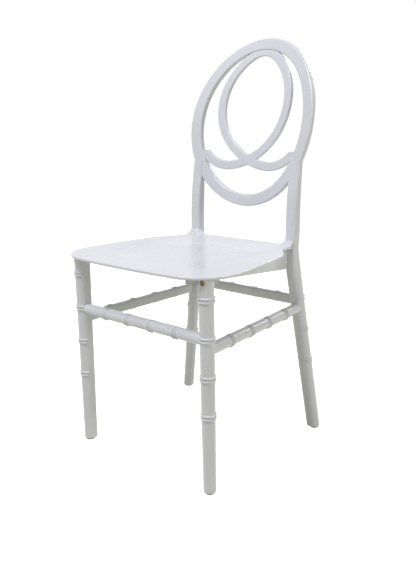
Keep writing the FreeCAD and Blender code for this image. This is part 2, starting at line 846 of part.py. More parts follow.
def rail_rib(name, share):
    """A cross rib that joins the two walls of a side rail part of the way along."""
    y = "(rail_front_y + %s * (post_front - rail_front_y))" % share
    x = "(rail_front_x + %s * (rail_rear_x - rail_front_x))" % share
    return box(name, (x + " - rail_width + bite", x + " - bite"), (y, y + " + rib_thick"),
               ("seat_height - rail_front_drop", UNDERSIDE + " + bite"))


def rail_trim():
    """What lies below the slanted lower edge of both side rails."""
    body = new_body("rail_trim")
    floor = "(%s - 2 * rail_rear_drop)" % UNDERSIDE
    sketch = outline(new_sketch(body, "rail_trim_side", "YZ_Plane"), [
        ("rail_front_y - bite", floor),
        ("post_front + bite", floor),
        ("post_front + bite", "seat_height - rail_rear_drop"),
        ("rail_front_y - bite", "seat_height - rail_front_drop"),
    ])
    pad(body, "rail_trim_pad", sketch, "4 * tail_half", both_ways=True)
    return body


def rear_rail():
    """A box channel between the posts, open underneath, whose ends take the bolts."""
    half = "(%s - fit)" % POST_INNER
    front = "(post_front - rear_rail_front)"
    back = "(post_front + rear_rail_back)"
    low = "(seat_height - rear_rail_depth)"
    outer = box("rear_rail_outer", ("-" + half, half), (front, back), (low, UNDERSIDE + " - fit"))
    bays = []
    edges = ["rail_wall - %s" % half, "-rib_x - rib_thick / 2", "rib_x - rib_thick / 2",
             "%s - rail_wall" % half]
    for count in range(3):
        start = edges[count] + (" + rib_thick" if count else "")
        bays.append(box("rear_rail_bay_%d" % count, (start, edges[count + 1]),
                        (front + " + rail_wall", back + " - rail_wall"),
                        (low + " - bite", UNDERSIDE + " - rail_wall")))
    return cut("rear_rail", outer, bays)


def front_block(name):
    """The block behind the left front leg that holds the insert, and a cheek beside the leg."""
    inner = "(front_top_x - front_top_radius - fit)"
    low = "(%s - block_depth)" % UNDERSIDE
    back = "(%s + %s + fit)" % leg_at("front", low)[1:]
    top = UNDERSIDE + " + bite"
    outer = FRONT_BOLT_X + " + insert_radius + block_wall"
    behind = box(name + "_behind", (inner + " - block_width", outer),
                 (back, back + " + block_thick"), (low, top))
    beside = box(name + "_beside", (inner + " - block_width", inner),
                 ("front_top_y - front_top_radius", back + " + bite"), (low, top))
    return [behind, beside]


def make_seat():
    """Panel, coves, rails, ribs and blocks as one moulding, with its bores."""
    block = front_block("block")
    left = coves() + [side_rail("side_rail")] + block
    left += [rail_rib("rail_rib_%d" % count, "%d / 4" % count) for count in range(1, 4)]
    right = [mirror(thing.Label + "_right", thing) for thing in left]
    ribs = []
    low = "(%s - rib_depth)" % UNDERSIDE
    top = UNDERSIDE + " + bite"
    reach = "(front_top_x - front_top_radius - fit - block_width + bite)"
    ribs.append(box("front_rib", ("-" + reach, reach),
                    (FRONT_FLAT + " + fit", FRONT_FLAT + " + fit + rib_thick"), (low, top)))
    for count in range(2):
        x = "(%d * rib_x)" % (2 * count - 1)
        ribs.append(box("long_rib_%d" % count, (x + " - rib_thick / 2", x + " + rib_thick / 2"),
                        (FRONT_FLAT + " + bite", "post_front - rear_rail_front + bite"),
                        (low, top)))
    for count in range(1, 4):
        y = "(rail_front_y + %d / 4 * (post_front - rail_front_y))" % count
        ribs.append(box("cross_rib_%d" % count, ("-(rail_rear_x - rail_width)", "rail_rear_x - rail_width"),
                        (y, y + " + rib_thick"), (low, top)))
    solid = join("seat_joined", [seat_panel(), rear_rail()] + left + right + ribs)
    bores = [rail_trim()]
    for side in ("1", "-1"):
        bores.append(rod("front_insert_bore_" + side.replace("-", "minus"), "insert_radius",
                         "insert_length + fit", "%s * %s" % (side, FRONT_BOLT_X), FRONT_FLAT,
                         FRONT_BOLT_Z, about("x", "-90")))
    for count in range(2):
        bores.append(rod("rear_rail_hole_%d" % count, "bolt_radius + bolt_slack", "2 * post_x",
                         "-post_x", POST_MIDDLE, rear_bolt_z(count), about("y", "90")))
    return cut("seat_shell", solid, bores)


# Back

def curved_sheet(name, front, depth):
    """A doubly curved sheet: it leans back in an arc and wraps round the sitter in plan."""
    body = new_body(name)
    sketch = new_sketch(body, name + "_side", "YZ_Plane")
    near = "(plan_radius + %s)" % front
    far = "(%s + %s)" % (near, depth)
    near_bend = "(lean_radius - %s)" % front
    far_bend = "(%s - %s)" % (near_bend, depth)
    low = "(bend_z - sheet_spare)"
    lean = "asin((hoop_z + hoop_half_height + sheet_spare - bend_z) / lean_radius)"
    outline(sketch, [
        (near, low),
        (far, low),
        (far, "bend_z", far_bend, -1),
        ("%s + %s * (1 - cos(%s))" % (far, far_bend, lean), "bend_z + %s * sin(%s)" % (far_bend, lean)),
        ("%s + %s * (1 - cos(%s))" % (near, near_bend, lean), "bend_z + %s * sin(%s)" % (near_bend, lean),
         near_bend, 1),
        (near, "bend_z"),
    ])
    revolve(body, name + "_turned", sketch, "V_Axis", "sheet_sweep")
    place(body, "0", "back_y - plan_radius", "0")
    return body


def ellipse_prism(name, inset):
    """The oval seen from the front, as a long prism through the back."""
    curve = doc.addObject("Part::Ellipse", name + "_curve")
    bind(curve, "MajorRadius", "hoop_half_height - %s" % inset)
    bind(curve, "MinorRadius", "hoop_half_width - %s" % inset)
    place(curve, "0", "0", "hoop_z", "%s * %s" % (about("y", "90"), about("x", "90")))
    prism = doc.addObject("Part::Extrusion", name)
    prism.Base = curve
    prism.Dir = FreeCAD.Vector(0, 1, 0)
    bind(prism, "LengthFwd", "3 * back_y")
    prism.Solid = True
    return prism


def make_hoop():
    """The left half of the hoop: an oval ring cut from the curved sheet."""
    ring = cut("hoop_oval", ellipse_prism("hoop_outer", "0"), [ellipse_prism("hoop_inner", "hoop_width")])
    side = box("hoop_side", ("0", "2 * hoop_half_width"), ("0", "3 * back_y"),
               ("hoop_z - 2 * hoop_half_height", "hoop_z + 2 * hoop_half_height"))
    return overlap("hoop", [ring, curved_sheet("hoop_sheet", "0", "hoop_depth"), side])


def make_loop():
    """One loop: four tangent arcs, always turning the same way, that end in a level horn."""
    body = new_body("loop_band")
    path = new_sketch(body, "loop_path", "XZ_Plane")
    spot = FreeCAD.Vector(0, number("loop_top"), 0)
    heading = 0.0
    edges = []
    for word in ("one", "two", "three", "four"):
        radius = number("arc_%s_radius" % word)
        turned = heading - math.radians(number("arc_%s_sweep" % word))
        centre = spot + FreeCAD.Vector(math.sin(heading), -math.cos(heading), 0) * radius
        end = centre - FreeCAD.Vector(math.sin(turned), -math.cos(turned), 0) * radius
        edges.append(path.addGeometry(centred_arc(spot, end, centre, radius, -1)))
        hold(path, "Radius", (edges[-1],), "arc_%s_radius" % word)
        hold(path, "Angle", (edges[-1],), "arc_%s_sweep" % word)
        spot, heading = end, turned
    path.addConstraint(Sketcher.Constraint("PointOnObject", edges[0], 2, -2))
    path.addConstraint(Sketcher.Constraint("PointOnObject", edges[0], 3, -2))
    hold(path, "DistanceY", (*ORIGIN_POINT, edges[0], 2), "loop_top")
    for first, second in zip(edges, edges[1:]):
        path.addConstraint(Sketcher.Constraint("Tangent", first, 1, second, 2))
    half = new_sketch(body, "loop_section", "YZ_Plane")
    outline(half, [
        ("back_y / 2", "loop_top - loop_width / 2"),
        ("back_y * 2.5", "loop_top - loop_width / 2"),
        ("back_y * 2.5", "loop_top + loop_width / 2"),
        ("back_y / 2", "loop_top + loop_width / 2"),
    ])
    doc.recompute()
    band = body.newObject("PartDesign::AdditivePipe", "loop_pipe")
    band.Profile = half
    band.Spine = path
    band = overlap("loop_whole", [body, curved_sheet("loop_sheet", "loop_recess", "loop_depth")])
    above = box("horn_space", ("-seat_half", "-post_x + 2 * loop_width"), ("0", "3 * back_y"),
                ("horn_top", "hoop_z"))
    return cut("loop", band, [above])


def make_post():
    """The left post: upright at the seat, then leaning, thinner and flush with the hoop on top."""
    body = new_body("post")
    section = new_sketch(body, "post_section", "XY_Plane", "bend_z")
    side = "post_width / 2"
    front = "(-lean_radius - post_depth / 2)"
    back = "(post_depth / 2 - lean_radius)"
    outline(section, [
        ("post_round - " + side, front),
        (side + " - post_round", front, "post_round", 1),
        (side, front + " + post_round"),
        (side, back + " - post_round", "post_round", 1),
        (side + " - post_round", back),
        ("post_round - " + side, back, "post_round", 1),
        ("-" + side, back + " - post_round"),
        ("-" + side, front + " + post_round", "post_round", 1),
    ])
    pad(body, "post_upright", section, "bend_z - post_low", downward=True)
    lean = revolve(body, "post_lean", section, "H_Axis")
    bind(lean, "Angle", "asin((post_top - bend_z) / lean_radius)")
    lean.Reversed = True
    place(body, "post_x", POST_MIDDLE + " + lean_radius", "0")
    return cut("post_trimmed", body, [post_behind(), post_ahead()])


def post_behind():
    """What lies behind the post's back, which leans less than its front."""
    body = new_body("post_behind")
    back = "(post_front + post_depth)"
    far = "(post_front + 2 * post_depth)"
    sketch = outline(new_sketch(body, "post_behind_side", "YZ_Plane"), [
        (far, "bend_z - bite"),
        (back, "bend_z - bite"),
        (back, "bend_z", "smooth"),
        (back + " + post_back_lean", "post_top + post_round"),
        (far, "post_top + post_round"),
    ])
    pad(body, "post_behind_pad", sketch, "4 * post_x", both_ways=True)
    return body


def post_ahead():
    """What lies ahead of the post's upper front, where it runs into the hoop's face."""
    body = new_body("post_ahead")
    bend = "(lean_radius + post_depth / 2)"
    start = "(seat_height + post_flush_rise)"
    near = "(post_front - post_depth)"
    sketch = outline(new_sketch(body, "post_ahead_side", "YZ_Plane"), [
        (near, start),
        ("post_front + %s - sqrt(%s^2 - (%s - bend_z)^2)" % (bend, bend, start), start),
        ("post_front + post_flush_in", "post_top + bite"),
        (near, "post_top + bite"),
    ])
    pad(body, "post_ahead_pad", sketch, "4 * post_x", both_ways=True)
    return body


def make_back(lower):
    """Hoop, loops, posts and rear legs in one piece, with a shelf that the seat's rail stands on."""
    half_space = box("above_floor", ("0", "2 * seat_half"), ("0", "2 * seat_front"),
                     ("glide_thick", UNDERSIDE + " - fit"))
    standing = overlap("rear_leg_standing", [lower["rear_leg"], half_space])
    shelf = "(seat_height - rail_rear_drop)"
    notched = cut("rear_leg_notched", standing, [
        box("rail_shelf", ("0", "2 * seat_half"), ("0", "post_front"), (shelf, "2 * seat_height")),
        box("rail_cheek", ("0", POST_INNER), ("0", "2 * seat_front"), (shelf, "2 * seat_height")),
    ])
    left = [make_hoop(), make_loop(), make_post(), notched]
    right = [mirror(thing.Label + "_right", thing) for thing in left]
    whole = join("back_joined", left + right)
    foot = foot_hole("rear_foot_hole", "rear")
    holes = [lower["rear_holes"], lower["side_holes"], mirror("side_holes_right", lower["side_holes"]),
             foot, mirror("rear_foot_hole_right", foot)]
    for count in range(2):
        bore = rod("rear_insert_bore_%d" % count, "insert_radius", "insert_length + socket_spare",
                   POST_INNER, POST_MIDDLE, rear_bolt_z(count), about("y", "90"))
        holes += [bore, mirror("rear_insert_bore_%d_right" % count, bore)]
    return cut("back_frame", whole, holes)


def make_front_legs(lower):
    space = box("under_seat", ("0", "2 * seat_half"), ("-2 * seat_front", "0"),
                ("glide_thick", UNDERSIDE + " - fit"))
    standing = overlap("front_leg_standing", [lower["front_leg"], space])
    holes = [lower["front_holes"], lower["side_holes"], foot_hole("front_foot_hole", "front")]
    left = cut("front_leg_left", standing, holes + front_bolt_hole("front_bolt_hole"))
    return [left, mirror("front_leg_right", left)]


def main():
    lower = make_lower_frame()
    nodes = list(lower["nodes"])
    nodes += make_front_legs(lower)
    nodes.append(make_back(lower))
    nodes.append(make_seat())
    for end in ("front", "rear"):
        for side, word in (("1", "left"), ("-1", "right")):
            nodes.append(make_glide("foot_glide_%s_%s" % (end, word), end, side))
    nodes += make_front_fixings()
    nodes += make_rear_fixings()
    doc.recompute()
    for item in doc.Objects:
        if "Invalid" in item.State or "Error" in item.State:
            raise RuntimeError("%s did not build: %s" % (item.Label, item.State))
    for node in nodes:
        if node.Shape.isNull() or not node.Shape.isValid():
            raise RuntimeError("%s has no valid shape" % node.Label)
    os.makedirs("parts", exist_ok=True)
    for node in nodes:
        node.Shape.exportStep("parts/%s.step" % node.Label)
        print(node.Label, len(node.Shape.Solids), round(node.Shape.Volume))


main()
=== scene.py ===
import json
import math

import bmesh
import bpy
from mathutils import Matrix, Vector


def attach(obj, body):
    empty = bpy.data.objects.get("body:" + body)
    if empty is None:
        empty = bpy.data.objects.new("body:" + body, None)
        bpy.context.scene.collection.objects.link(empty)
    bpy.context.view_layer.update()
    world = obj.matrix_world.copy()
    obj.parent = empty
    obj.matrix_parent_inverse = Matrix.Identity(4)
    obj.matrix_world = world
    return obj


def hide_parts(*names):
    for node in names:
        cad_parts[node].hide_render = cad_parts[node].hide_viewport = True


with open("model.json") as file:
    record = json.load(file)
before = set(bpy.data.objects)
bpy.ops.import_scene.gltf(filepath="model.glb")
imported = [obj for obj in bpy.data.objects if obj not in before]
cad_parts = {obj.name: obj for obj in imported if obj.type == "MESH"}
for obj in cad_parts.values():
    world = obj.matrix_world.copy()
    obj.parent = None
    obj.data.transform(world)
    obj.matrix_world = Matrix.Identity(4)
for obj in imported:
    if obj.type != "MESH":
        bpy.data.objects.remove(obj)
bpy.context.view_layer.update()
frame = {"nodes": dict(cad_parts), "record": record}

# A banquet chair moulded in white plastic: an oval back of crossing loops on two posts, a thin
# flared seat, and bamboo-ringed legs and stretchers. The chair's lengths are in millimetres and
# become metres in make_object and make_rings. The studio's lengths are in metres.

MM = 0.001
BODY = "root"

# Curved sheet that the whole back lies in
BACK_Y = 149.1
BEND_Z = 455.0
LEAN_RADIUS = 1205.0
PLAN_RADIUS = 942.0

# Hoop
HOOP_Z = 716.8
HOOP_HALF_WIDTH = 173.7
HOOP_HALF_HEIGHT = 200.0
HOOP_WIDTH = 28.3
HOOP_DEPTH = 16.0
HOOP_ROUND = 4.5
HOOP_STEPS = 240

# Crossing loops, arc by arc from the top
LOOP_TOP = 884.2
LOOP_WIDTH = 21.0
LOOP_RECESS = 2.6
LOOP_DEPTH = 11.0
LOOP_ROUND = 3.0
LOOP_STEP = 4.0
LOOP_ARCS = ((60.6, 33.3), (134.9, 95.3), (172.9, 43.4), (90.2, 66.0))
HORN_TOP = 649.0
HORN_INNER = 100.0

# Posts
POST_X = 141.7
POST_FRONT = 132.5
POST_WIDTH = 27.2
POST_DEPTH = 28.2
POST_ROUND = 7.5
POST_CORNER_STEPS = 8
POST_TOP = 626.0
POST_INNER = POST_X - POST_WIDTH / 2
POST_BACK_BEND = 3542.0
FLUSH_START = (135.9, 545.0)
FLUSH_END = (149.5, 627.0)
RAIL_SHELF = 383.0
POST_STEPS = 20

# Rear legs: foot and top of the axis, the radius at each end, and the blend into the post
LEG_FOOT = Vector((198.0, 168.7, 0.0))
LEG_TOP = Vector((141.0, 144.5, 430.0))
LEG_FOOT_RADIUS = 13.4
LEG_TOP_RADIUS = 15.5
LEG_CORNER = 2.5
LEG_START = 2.5
FOOT_ROUND = 2.7
BLEND_LOW = 404.0
BLEND_HIGH = 462.0
BLEND_STEPS = 12

# Divisions of a leg: round it, up its length and over the rounding of its end
LEG_SIDES = 72
LEG_STEPS = 40
FOOT_STEPS = 4

# Slack for the crossing of a ray and an outline's side
PARALLEL = 1e-9
OVERRUN = 1e-6

# Front legs, and the pocket round the bolt's head
FRONT_FOOT = Vector((177.0, -202.3, 0.0))
FRONT_TOP = Vector((176.2, -210.1, 432.5))
FRONT_FOOT_RADIUS = 12.8
FRONT_TOP_RADIUS = 15.0
RECESS_DEPTH = 5.5
RECESS_GAP = 0.5
RECESS_TURN = 10

# Bamboo rings of the legs and bars
RING_FIRST = 168.7
RING_PITCH = 74.7
RING_COUNT = 3
RING_SPACING = 6.75
RING_RIDGE = 2.1
RING_SWEEP = 224.0
RING_ARC_STEPS = 56
RING_RIDGE_STEPS = 14
FRONT_RING_COUNT = 4
FRONT_RING_FIRST = 161.4
FRONT_RING_PITCH = 76.9

# Stretchers: half round outside, flat inside
BAR_RADIUS = 11.0
BAR_INNER = 8.0
BAR_CORNER = 3.0
BAR_STEPS = 40
BAR_TURN = 10
BAR_CORNER_STEPS = 4
BAR_RING_COUNT = 4
BAR_RING_SWEEP = 236.0
FRONT_BAR_Z, FRONT_BAR_PITCH = 311.8, 66.5
REAR_BAR_Z, REAR_BAR_PITCH = 309.1, 67.5
SIDE_BAR_Z, SIDE_BAR_PITCH = 291.3, 71.0

# Edges that turn more than this many degrees stay crisp
SHARP = 32.0

# Corners closer than this, in metres, become one
MERGE_DISTANCE = 0.00001

# Range of a noise texture that the finishes use
NOISE_LOW, NOISE_HIGH = 0.3, 0.7

# Studio
FLOOR_HALF = 6.0
FLOOR_COLOUR = (0.62, 0.62, 0.5, 1)
FLOOR_GLOW = 0.9
FILL_COLOUR = (1.0, 0.985, 0.9, 1)
FILL_STRENGTH = 0.24
WHITE = (1, 1, 1, 1)

# Camera; its angles are azimuth, pitch and roll in degrees
CAMERA_PLACE = (0.87872, -1.06776, 0.70137)
CAMERA_ANGLES = (39.108, 10.123, -0.275)
CAMERA_LENS = 39.58
CAMERA_SENSOR = 36.0
CAMERA_SHIFT = -0.076
CAMERA_NEAR = 0.01


# Skins


def sheet_y(x, z, depth):
    """How far back the curved sheet lies at a place, at a depth behind its front face."""
    rise = max(z - BEND_Z, 0.0)
    reach = PLAN_RADIUS + LEAN_RADIUS - math.sqrt((LEAN_RADIUS - depth) ** 2 - rise ** 2)
    return BACK_Y - PLAN_RADIUS + math.sqrt(reach ** 2 - x ** 2)


def rounded_section(width, depth, radius, steps=6, margin=0.6):
    """Points round a rectangle with rounded corners, from (0, 0) to (width, depth).

    A narrow margin beside each corner keeps the shading of the flats even.
    """
    corners = ((width - radius, radius, -90), (width - radius, depth - radius, 0),
               (radius, depth - radius, 90), (radius, radius, 180))
    points = []
    for corner_x, corner_y, start in corners:
        corner = Vector((corner_x, corner_y))
        first, last = Vector(rim(start)), Vector(rim(start + 90))
        before = Vector((-first.y, first.x)) * -margin
        after = Vector((-last.y, last.x)) * margin
        points.append(corner + first * radius + before)
        points += [corner + Vector(rim(start + 90 * step / steps)) * radius
                   for step in range(steps + 1)]
        points.append(corner + last * radius + after)
    return points


def rim(degrees):
    """The point of a circle of radius 1 at an angle."""
    return math.cos(math.radians(degrees)), math.sin(math.radians(degrees))


def skin(bm, rows, closed=False):
    """Faces between rows of points; an open run gets a cap at each end."""
    made = [[bm.verts.new(point) for point in row] for row in rows]
    pairs = list(zip(made, made[1:] + made[:1])) if closed else list(zip(made, made[1:]))
    for first, second in pairs:
        for index in range(len(first)):
            after = (index + 1) % len(first)
            bm.faces.new((first[index], first[after], second[after], second[index]))
    if not closed:
        bm.faces.new(made[0])
        bm.faces.new(made[-1])


def linked(name, data):
    """A new object in the scene."""
    thing = bpy.data.objects.new(name, data)
    bpy.context.scene.collection.objects.link(thing)
    return thing


def smoothed(mesh):
    """The mesh shaded smooth, with its crisp edges marked."""
    mesh.shade_smooth()
    mesh.set_sharp_from_angle(angle=math.radians(SHARP))
    return mesh


def baked(thing, name):
    """A new mesh of the object with its modifiers applied."""
    bpy.context.view_layer.update()
    graph = bpy.context.evaluated_depsgraph_get()
    mesh = bpy.data.meshes.new_from_object(thing.evaluated_get(graph))
    mesh.name = name
    return mesh


def make_object(name, bm):
    """A finished object at the origin, in metres, with its faces outwards and smooth."""
    bmesh.ops.scale(bm, vec=(MM, MM, MM), verts=bm.verts)
    bmesh.ops.recalc_face_normals(bm, faces=bm.faces)
    mesh = bpy.data.meshes.new(name)
    bm.to_mesh(mesh)
    bm.free()
    return linked(name, smoothed(mesh))


# Back

def hoop_rows():
    """Sections of the oval hoop, all the way round."""
    section = rounded_section(HOOP_WIDTH, HOOP_DEPTH, HOOP_ROUND)
    rows = []
    for index in range(HOOP_STEPS):
        side, up = rim(360 * index / HOOP_STEPS)
        row = []
        for inset, depth in section:
            x = (HOOP_HALF_WIDTH - inset) * side
            z = HOOP_Z + (HOOP_HALF_HEIGHT - inset) * up
            row.append(Vector((x, sheet_y(x, z, depth), z)))
        rows.append(row)
    return rows


def loop_path():
    """Points along one loop's middle in front view, each with the direction across it."""
    spot = Vector((0.0, LOOP_TOP))
    heading = 0.0
    path = [(spot.copy(), Vector((0.0, 1.0)))]
    for radius, sweep in LOOP_ARCS:
        centre = spot + Vector((math.sin(heading), -math.cos(heading))) * radius
        count = max(2, round(radius * math.radians(sweep) / LOOP_STEP))
        for index in range(1, count + 1):
            angle = heading - math.radians(sweep) * index / count
            across = Vector((-math.sin(angle), math.cos(angle)))
            path.append((centre + across * radius, across))
        spot, heading = path[-1][0], heading - math.radians(sweep)
    return path


def loop_rows():
    """Sections of one loop, from the top to its horn."""
    section = rounded_section(LOOP_WIDTH, LOOP_DEPTH, LOOP_ROUND)
    rows = []
    for spot, across in loop_path():
        row = []
        for shift, depth in section:
            place = spot + across * (shift - LOOP_WIDTH / 2)
            y = sheet_y(place.x, place.y, LOOP_RECESS + depth)
            row.append(Vector((place.x, y, place.y)))
        rows.append(row)
    return rows


def leaning(start, bend, z):
    """How far back an arc lies that stands upright at the bend's height."""
    return start + bend - math.sqrt(bend ** 2 - max(z - BEND_Z, 0.0) ** 2)


def post_point(shift, depth, z):
    """A point of the post, at a depth from its front; the front runs into the hoop's face."""
    front = leaning(POST_FRONT, LEAN_RADIUS + POST_DEPTH / 2, z)
    share = (z - FLUSH_START[1]) / (FLUSH_END[1] - FLUSH_START[1])
    if share > 0:
        front = max(front, FLUSH_START[0] + share * (FLUSH_END[0] - FLUSH_START[0]))
    back = leaning(POST_FRONT + POST_DEPTH, POST_BACK_BEND, z)
    return Vector((POST_X + shift, front + (back - front) * depth / POST_DEPTH, z))


def post_section():
    """Points round a post, from its middle."""
    outline = rounded_section(POST_WIDTH, POST_DEPTH, POST_ROUND, steps=POST_CORNER_STEPS)
    return [point - Vector((POST_WIDTH, POST_DEPTH)) / 2 for point in outline]


def leg_section(radius):
    """A circle whose inner side, towards -X -Y, is drawn out into a square corner."""
    diagonal = math.sqrt(2)
    points = []
    for index in range(LEG_SIDES):
        side, ahead = rim(360 * index / LEG_SIDES)
        reach = radius
        if side < 0 and ahead < 0:
            square = radius / max(abs(side), abs(ahead))
            chamfer = (radius * diagonal - LEG_CORNER) / ((abs(side) + abs(ahead)) / diagonal)
            reach = min(square, chamfer)
        points.append(Vector((side * reach, ahead * reach)))
    return points


def by_angle(points):
    """The outline through the points, taken again at even angles round the middle."""
    taken = []
    for index in range(LEG_SIDES):
        side, ahead = rim(360 * index / LEG_SIDES)
        for first, second in zip(points, points[1:] + points[:1]):
            run = second - first
            det = side * run.y - ahead * run.x
            if abs(det) < PARALLEL:
                continue
            reach = (first.x * run.y - first.y * run.x) / det
            share = (first.x * ahead - first.y * side) / det
            if reach > 0 and -OVERRUN <= share <= 1 + OVERRUN:
                taken.append(Vector((side, ahead)) * reach)
                break
    return taken


def foot_inset(z):
    """How far the rounding of a foot's end draws the skin in at a height."""
    rest = min(max(LEG_START + FOOT_ROUND - z, 0.0), FOOT_ROUND)
    return FOOT_ROUND - math.sqrt(FOOT_ROUND ** 2 - rest ** 2)


def foot_heights():
    """Heights that follow the rounding of a foot's end."""
    return [LEG_START + FOOT_ROUND * (1 - rim(90 * step / FOOT_STEPS)[0])
            for step in range(FOOT_STEPS + 1)]


def heights_above(low, high, steps):
    """Even heights up to the higher one, without the lower one."""
    return [low + (high - low) * step / steps for step in range(1, steps + 1)]


def rear_leg_rows():
    """Leg and post in one run, from the foot to the hoop, with a blend at the seat."""
    post = by_angle(post_section())
    heights = (foot_heights() + heights_above(0.0, BLEND_LOW, LEG_STEPS)
               + heights_above(BLEND_LOW, BLEND_HIGH, BLEND_STEPS)
               + heights_above(BLEND_HIGH, POST_TOP, POST_STEPS))
    rows = []
    for z in heights:
        share = min(max((z - BLEND_LOW) / (BLEND_HIGH - BLEND_LOW), 0.0), 1.0)
        share = share * share * (3 - 2 * share)
        along = z / LEG_TOP.z
        middle = LEG_FOOT.lerp(LEG_TOP, along)
        radius = LEG_FOOT_RADIUS + (LEG_TOP_RADIUS - LEG_FOOT_RADIUS) * along - foot_inset(z)
        row = []
        for low, high in zip(leg_section(radius), post):
            at_leg = Vector((middle.x + low.x, middle.y + low.y, z))
            point = at_leg.lerp(post_point(high.x, high.y + POST_DEPTH / 2, z), share)
            if z > RAIL_SHELF:
                point.x = max(point.x, POST_INNER)
                point.y = max(point.y, POST_FRONT)
            row.append(point)
        rows.append(row)
    return rows


def level_horn(bm):
    """Cut the loop's end level and close it."""
    tail = [face for face in bm.faces if all(vert.co.x < -HORN_INNER for vert in face.verts)]
    edges = {edge for face in tail for edge in face.edges}
    verts = {vert for face in tail for vert in face.verts}
    bmesh.ops.bisect_plane(bm, geom=tail + list(edges) + list(verts), plane_co=(0, 0, HORN_TOP),
                           plane_no=(0, 0, 1), clear_outer=True)
    bmesh.ops.holes_fill(bm, edges=[edge for edge in bm.edges if edge.is_boundary])


def turned_over(piece, name="twin"):
    """The same shell on the other side of the chair."""
    twin = piece.copy()
    twin.name = name
    twin.data = piece.data.copy()
    twin.data.transform(Matrix.Diagonal((-1, 1, 1, 1)))
    twin.data.flip_normals()
    bpy.context.scene.collection.objects.link(twin)
    return twin


def welded(name, shells, hollow=None):
    """One skin round all the shells, less a hollow; the shells are used up."""
    base = shells[0]
    others = shells[1:] if hollow is None else shells[1:] + [hollow]
    for shell in others:
        step = base.modifiers.new(shell.name, "BOOLEAN")
        step.operation = "DIFFERENCE" if shell is hollow else "UNION"
        step.solver = "MANIFOLD"
        step.object = shell
    mesh = baked(base, name)
    for shell in [base] + others:
        bpy.data.objects.remove(shell)
    return linked(name, smoothed(mesh))


def make_back():
    """Hoop, loops, posts and rear legs as one moulding."""
    hoop = bmesh.new()
    skin(hoop, hoop_rows(), closed=True)
    loop = bmesh.new()
    skin(loop, loop_rows())
    level_horn(loop)
    leg = bmesh.new()
    skin(leg, rear_leg_rows())
    shells = [make_object("hoop", hoop)]
    for name, bm in (("loop", loop), ("rear_leg", leg)):
        shell = make_object(name, bm)
        shells += [shell, turned_over(shell)]
    run = LEG_TOP - LEG_FOOT
    rings = make_rings(RING_COUNT, RING_FIRST, RING_PITCH, LEG_FOOT_RADIUS,
                       (LEG_TOP_RADIUS - LEG_FOOT_RADIUS) / LEG_TOP.z, RING_SWEEP,
                       rod_frame(LEG_FOOT, run.normalized(), Vector((1, 1, 0))))
    shells += [rings, turned_over(rings)]
    return welded("back_moulding", shells)


# Bamboo rings of all the legs and stretchers, made by one node tree

def ring_tree():
    """Pairs of ridges along an upright axis, sized to the rod's taper and open on one side."""
    tree = bpy.data.node_groups.new("bamboo_rings", "GeometryNodeTree")
    tree.interface.new_socket("Geometry", in_out="OUTPUT", socket_type="NodeSocketGeometry")
    for name, kind in (("Count", "NodeSocketInt"), ("First", "NodeSocketFloat"),
                       ("Pitch", "NodeSocketFloat"), ("Spacing", "NodeSocketFloat"),
                       ("Ridge", "NodeSocketFloat"), ("Foot Radius", "NodeSocketFloat"),
                       ("Taper", "NodeSocketFloat"), ("Sweep", "NodeSocketFloat"),
                       ("Material", "NodeSocketMaterial")):
        tree.interface.new_socket(name, in_out="INPUT", socket_type=kind)
    kinds = {
        "inputs": "NodeGroupInput", "output": "NodeGroupOutput",
        "rise": "ShaderNodeCombineXYZ", "start": "ShaderNodeCombineXYZ",
        "gap": "ShaderNodeCombineXYZ",
        "stack": "GeometryNodeMeshLine", "pair": "GeometryNodeMeshLine",
        "pairs": "GeometryNodeInstanceOnPoints", "spots": "GeometryNodeRealizeInstances",
        "arc": "GeometryNodeCurveArc", "round": "GeometryNodeCurvePrimitiveCircle",
        "sweep": "GeometryNodeCurveToMesh", "place": "GeometryNodeInputPosition",
        "height": "ShaderNodeSeparateXYZ", "growth": "ShaderNodeMath", "size": "ShaderNodeMath",
        "ridges": "GeometryNodeInstanceOnPoints", "real": "GeometryNodeRealizeInstances",
        "paint": "GeometryNodeSetMaterial", "scale": "ShaderNodeMath", "half": "ShaderNodeMath"}
    made = {name: tree.nodes.new(kind) for name, kind in kinds.items()}
    made["half"].operation = made["growth"].operation = "MULTIPLY"
    made["size"].operation = "ADD"
    made["scale"].operation = "DIVIDE"
    made["half"].inputs[1].default_value = -0.5
    made["pair"].inputs["Count"].default_value = 2
    made["arc"].inputs["Resolution"].default_value = RING_ARC_STEPS
    made["round"].inputs["Resolution"].default_value = RING_RIDGE_STEPS
    made["sweep"].inputs["Fill Caps"].default_value = True
    wires = (
        ("inputs", "Pitch", "rise", "Z"), ("inputs", "First", "start", "Z"),
        ("inputs", "Spacing", "gap", "Z"), ("inputs", "Count", "stack", "Count"),
        ("start", 0, "stack", "Start Location"), ("rise", 0, "stack", "Offset"),
        ("gap", 0, "pair", "Offset"), ("stack", 0, "pairs", "Points"),
        ("pair", 0, "pairs", "Instance"), ("pairs", 0, "spots", 0),
        ("inputs", "Foot Radius", "arc", "Radius"), ("inputs", "Sweep", "half", 0),
        ("half", 0, "arc", "Start Angle"), ("inputs", "Sweep", "arc", "Sweep Angle"),
        ("inputs", "Ridge", "round", "Radius"), ("arc", 0, "sweep", "Curve"),
        ("round", 0, "sweep", "Profile Curve"), ("place", 0, "height", 0),
        ("height", "Z", "growth", 0), ("inputs", "Taper", "growth", 1),
        ("growth", 0, "size", 0), ("inputs", "Foot Radius", "size", 1),
        ("size", 0, "scale", 0), ("inputs", "Foot Radius", "scale", 1),
        ("spots", 0, "ridges", "Points"), ("sweep", 0, "ridges", "Instance"),
        ("scale", 0, "ridges", "Scale"), ("ridges", 0, "real", 0),
        ("real", 0, "paint", "Geometry"), ("inputs", "Material", "paint", "Material"),
        ("paint", 0, "output", 0))
    for source, out, target, into in wires:
        tree.links.new(made[source].outputs[out], made[target].inputs[into])
    return tree


